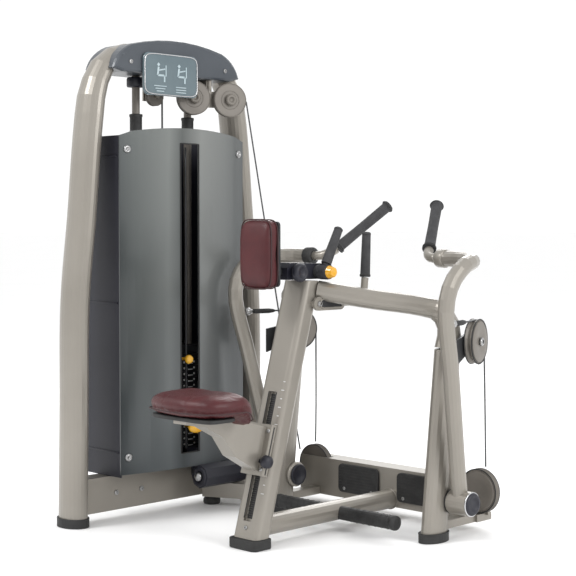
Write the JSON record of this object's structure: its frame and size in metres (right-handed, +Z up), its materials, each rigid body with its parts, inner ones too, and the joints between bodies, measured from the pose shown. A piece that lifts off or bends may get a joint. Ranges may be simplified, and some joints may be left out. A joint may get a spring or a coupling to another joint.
{
  "type": "seated row machine",
  "caption": "Seated row machine: weight-stack tower beside a leaning column with seat and chest pad, two low-pivoted lever arms with angled grips, cable wheels and a foot beam.",
  "frame": {"origin": "centre of the bounding box footprint, on the floor", "axes": "+Y the way the user faces, +X the user's right, +Z up"},
  "size_m": [1.14, 1.028, 1.4995],
  "materials": {
    "frame_paint": "satin",
    "upholstery": "satin",
    "rubber": "matte",
    "dark_cover": "satin",
    "pulley": "satin",
    "steel": "satin",
    "panel": "gloss",
    "yellow_plastic": "gloss",
    "cable": "satin",
    "grip_foam": "matte",
    "bright_steel": "polished",
    "shield_tint": "satin"
  },
  "bodies": {
    "frame": {"assist_grip": "grip_foam", "assist_handle": "frame_paint", "column_foot": "rubber", "cross_beam": "frame_paint", "floor_tube": "frame_paint", "foot_pad_left": "rubber", "foot_pad_right": "rubber", "foot_peg": "rubber", "front_cable": "cable", "guide_rod_left": "bright_steel", "guide_rod_right": "bright_steel", "head_cover": "dark_cover", "head_pulley_carrier": "frame_paint", "info_panel": "panel", "left_arm_cable": "cable", "left_boom": "frame_paint", "left_leg": "frame_paint", "left_leg_foot": "rubber", "left_pivot_pin": "steel", "left_wheel_mount": "frame_paint", "link_beam": "frame_paint", "pad_slide_housing": "dark_cover", "right_arm_cable": "cable", "right_boom": "frame_paint", "right_leg": "frame_paint", "right_leg_foot": "rubber", "right_pivot_pin": "steel", "right_wheel_mount": "frame_paint", "seat_column": "frame_paint", "stack_cable": "cable", "stack_foot_roll": "dark_cover", "stack_rest_plates": "steel", "stack_shield": "shield_tint", "stack_shroud": "dark_cover", "stack_tray": "dark_cover", "tower_base_beam": "frame_paint", "tower_foot_left": "rubber", "tower_foot_right": "rubber", "tower_upright_left": "frame_paint", "tower_upright_right": "frame_paint"},
    "right_lever": {"right_arm": "frame_paint", "right_grip": "grip_foam"},
    "left_lever": {"left_arm": "frame_paint", "left_grip": "grip_foam"},
    "lifted_stack": {"stack_lifted_plate": "steel", "stack_top_plate": "steel"},
    "pin": {"selector_pin": "yellow_plastic"},
    "right_wheel": {"right_cable_wheel": "pulley"},
    "left_wheel": {"left_cable_wheel": "pulley"},
    "right_low_pulley": {"right_base_pulley": "pulley"},
    "left_low_pulley": {"left_base_pulley": "pulley"},
    "inner_head_pulley": {"head_pulley_inner": "pulley"},
    "outer_head_pulley": {"head_pulley_outer": "pulley"},
    "stack_head_pulley": {"head_pulley_stack": "pulley"},
    "seat": {"seat_carriage": "frame_paint", "seat_cushion": "upholstery"},
    "chest_support": {"chest_pad": "upholstery", "pad_slide_tube": "bright_steel"},
    "adjuster": {"adjuster_lever": "grip_foam", "adjuster_end_cap": "yellow_plastic"}
  },
  "joints": [
    {"name": "right_arm_swing", "type": "hinge", "parent": "frame", "child": "right_lever", "pos_m": [0.49098, 0.26203, 0.115], "axis": [1, 0, 0], "range_deg": [0, 28]},
    {"name": "left_arm_swing", "type": "hinge", "parent": "frame", "child": "left_lever", "pos_m": [-0.27102, 0.26203, 0.115], "axis": [1, 0, 0], "range_deg": [0, 28.2]},
    {"name": "stack_lift", "type": "slide", "parent": "frame", "child": "lifted_stack", "axis": [0, 0, 1], "range_m": [0, 0.26], "deforming": ["stack_cable"]},
    {"name": "pin_pull", "type": "slide", "parent": "lifted_stack", "child": "pin", "axis": [1, 0, 0], "range_m": [0, 0.03]},
    {"name": "right_wheel_spin", "type": "hinge", "parent": "frame", "child": "right_wheel", "pos_m": [0.47498, 0.35203, 0.577], "axis": [0.9593, 0.2823, 0], "range_deg": [-240, 240]},
    {"name": "left_wheel_spin", "type": "hinge", "parent": "frame", "child": "left_wheel", "pos_m": [-0.25502, 0.35203, 0.577], "axis": [-0.9593, 0.2823, 0], "range_deg": [-240, 240]},
    {"name": "right_low_pulley_spin", "type": "hinge", "parent": "frame", "child": "right_low_pulley", "pos_m": [0.44798, 0.41203, 0.124], "axis": [0, 1, 0], "range_deg": [-240, 240]},
    {"name": "left_low_pulley_spin", "type": "hinge", "parent": "frame", "child": "left_low_pulley", "pos_m": [-0.22802, 0.41203, 0.124], "axis": [0, 1, 0], "range_deg": [-240, 240]},
    {"name": "inner_head_pulley_spin", "type": "hinge", "parent": "frame", "child": "inner_head_pulley", "pos_m": [-0.44002, 0.05903, 1.328], "axis": [0.9135, -0.4067, 0], "range_deg": [-280, 280]},
    {"name": "outer_head_pulley_spin", "type": "hinge", "parent": "frame", "child": "outer_head_pulley", "pos_m": [-0.39002, 0.17103, 1.324], "axis": [0.9135, -0.4067, 0], "range_deg": [-280, 280]},
    {"name": "stack_head_pulley_spin", "type": "hinge", "parent": "frame", "child": "stack_head_pulley", "pos_m": [-0.49602, -0.05697, 1.33], "axis": [1, 0, 0], "range_deg": [-480, 480]},
    {"name": "seat_height", "type": "slide", "parent": "frame", "child": "seat", "axis": [0, 0.275, 0.9615], "range_m": [-0.1, 0.09]},
    {"name": "chest_pad_reach", "type": "slide", "parent": "frame", "child": "chest_support", "axis": [0, 1, 0], "range_m": [-0.07, 0.035]},
    {"name": "adjuster_lever_turn", "type": "hinge", "parent": "frame", "child": "adjuster", "pos_m": [0.16998, 0.02503, 0.782], "axis": [1, 0, 0], "range_deg": [0, 25], "stiffness_Nm_per_rad": 3, "springref_deg": -11.46}
  ],
  "couplings": [
    {"joint": "left_arm_swing", "follows": "right_arm_swing", "ratio": 1},
    {"joint": "stack_lift", "follows": "right_arm_swing", "m_per_rad": 0.5},
    {"joint": "right_wheel_spin", "follows": "right_arm_swing", "ratio": 8},
    {"joint": "left_wheel_spin", "follows": "right_arm_swing", "ratio": -8},
    {"joint": "right_low_pulley_spin", "follows": "right_arm_swing", "ratio": 8},
    {"joint": "left_low_pulley_spin", "follows": "right_arm_swing", "ratio": 8},
    {"joint": "inner_head_pulley_spin", "follows": "right_arm_swing", "ratio": -9},
    {"joint": "outer_head_pulley_spin", "follows": "right_arm_swing", "ratio": -9},
    {"joint": "stack_head_pulley_spin", "follows": "right_arm_swing", "ratio": -15.6}
  ]
}
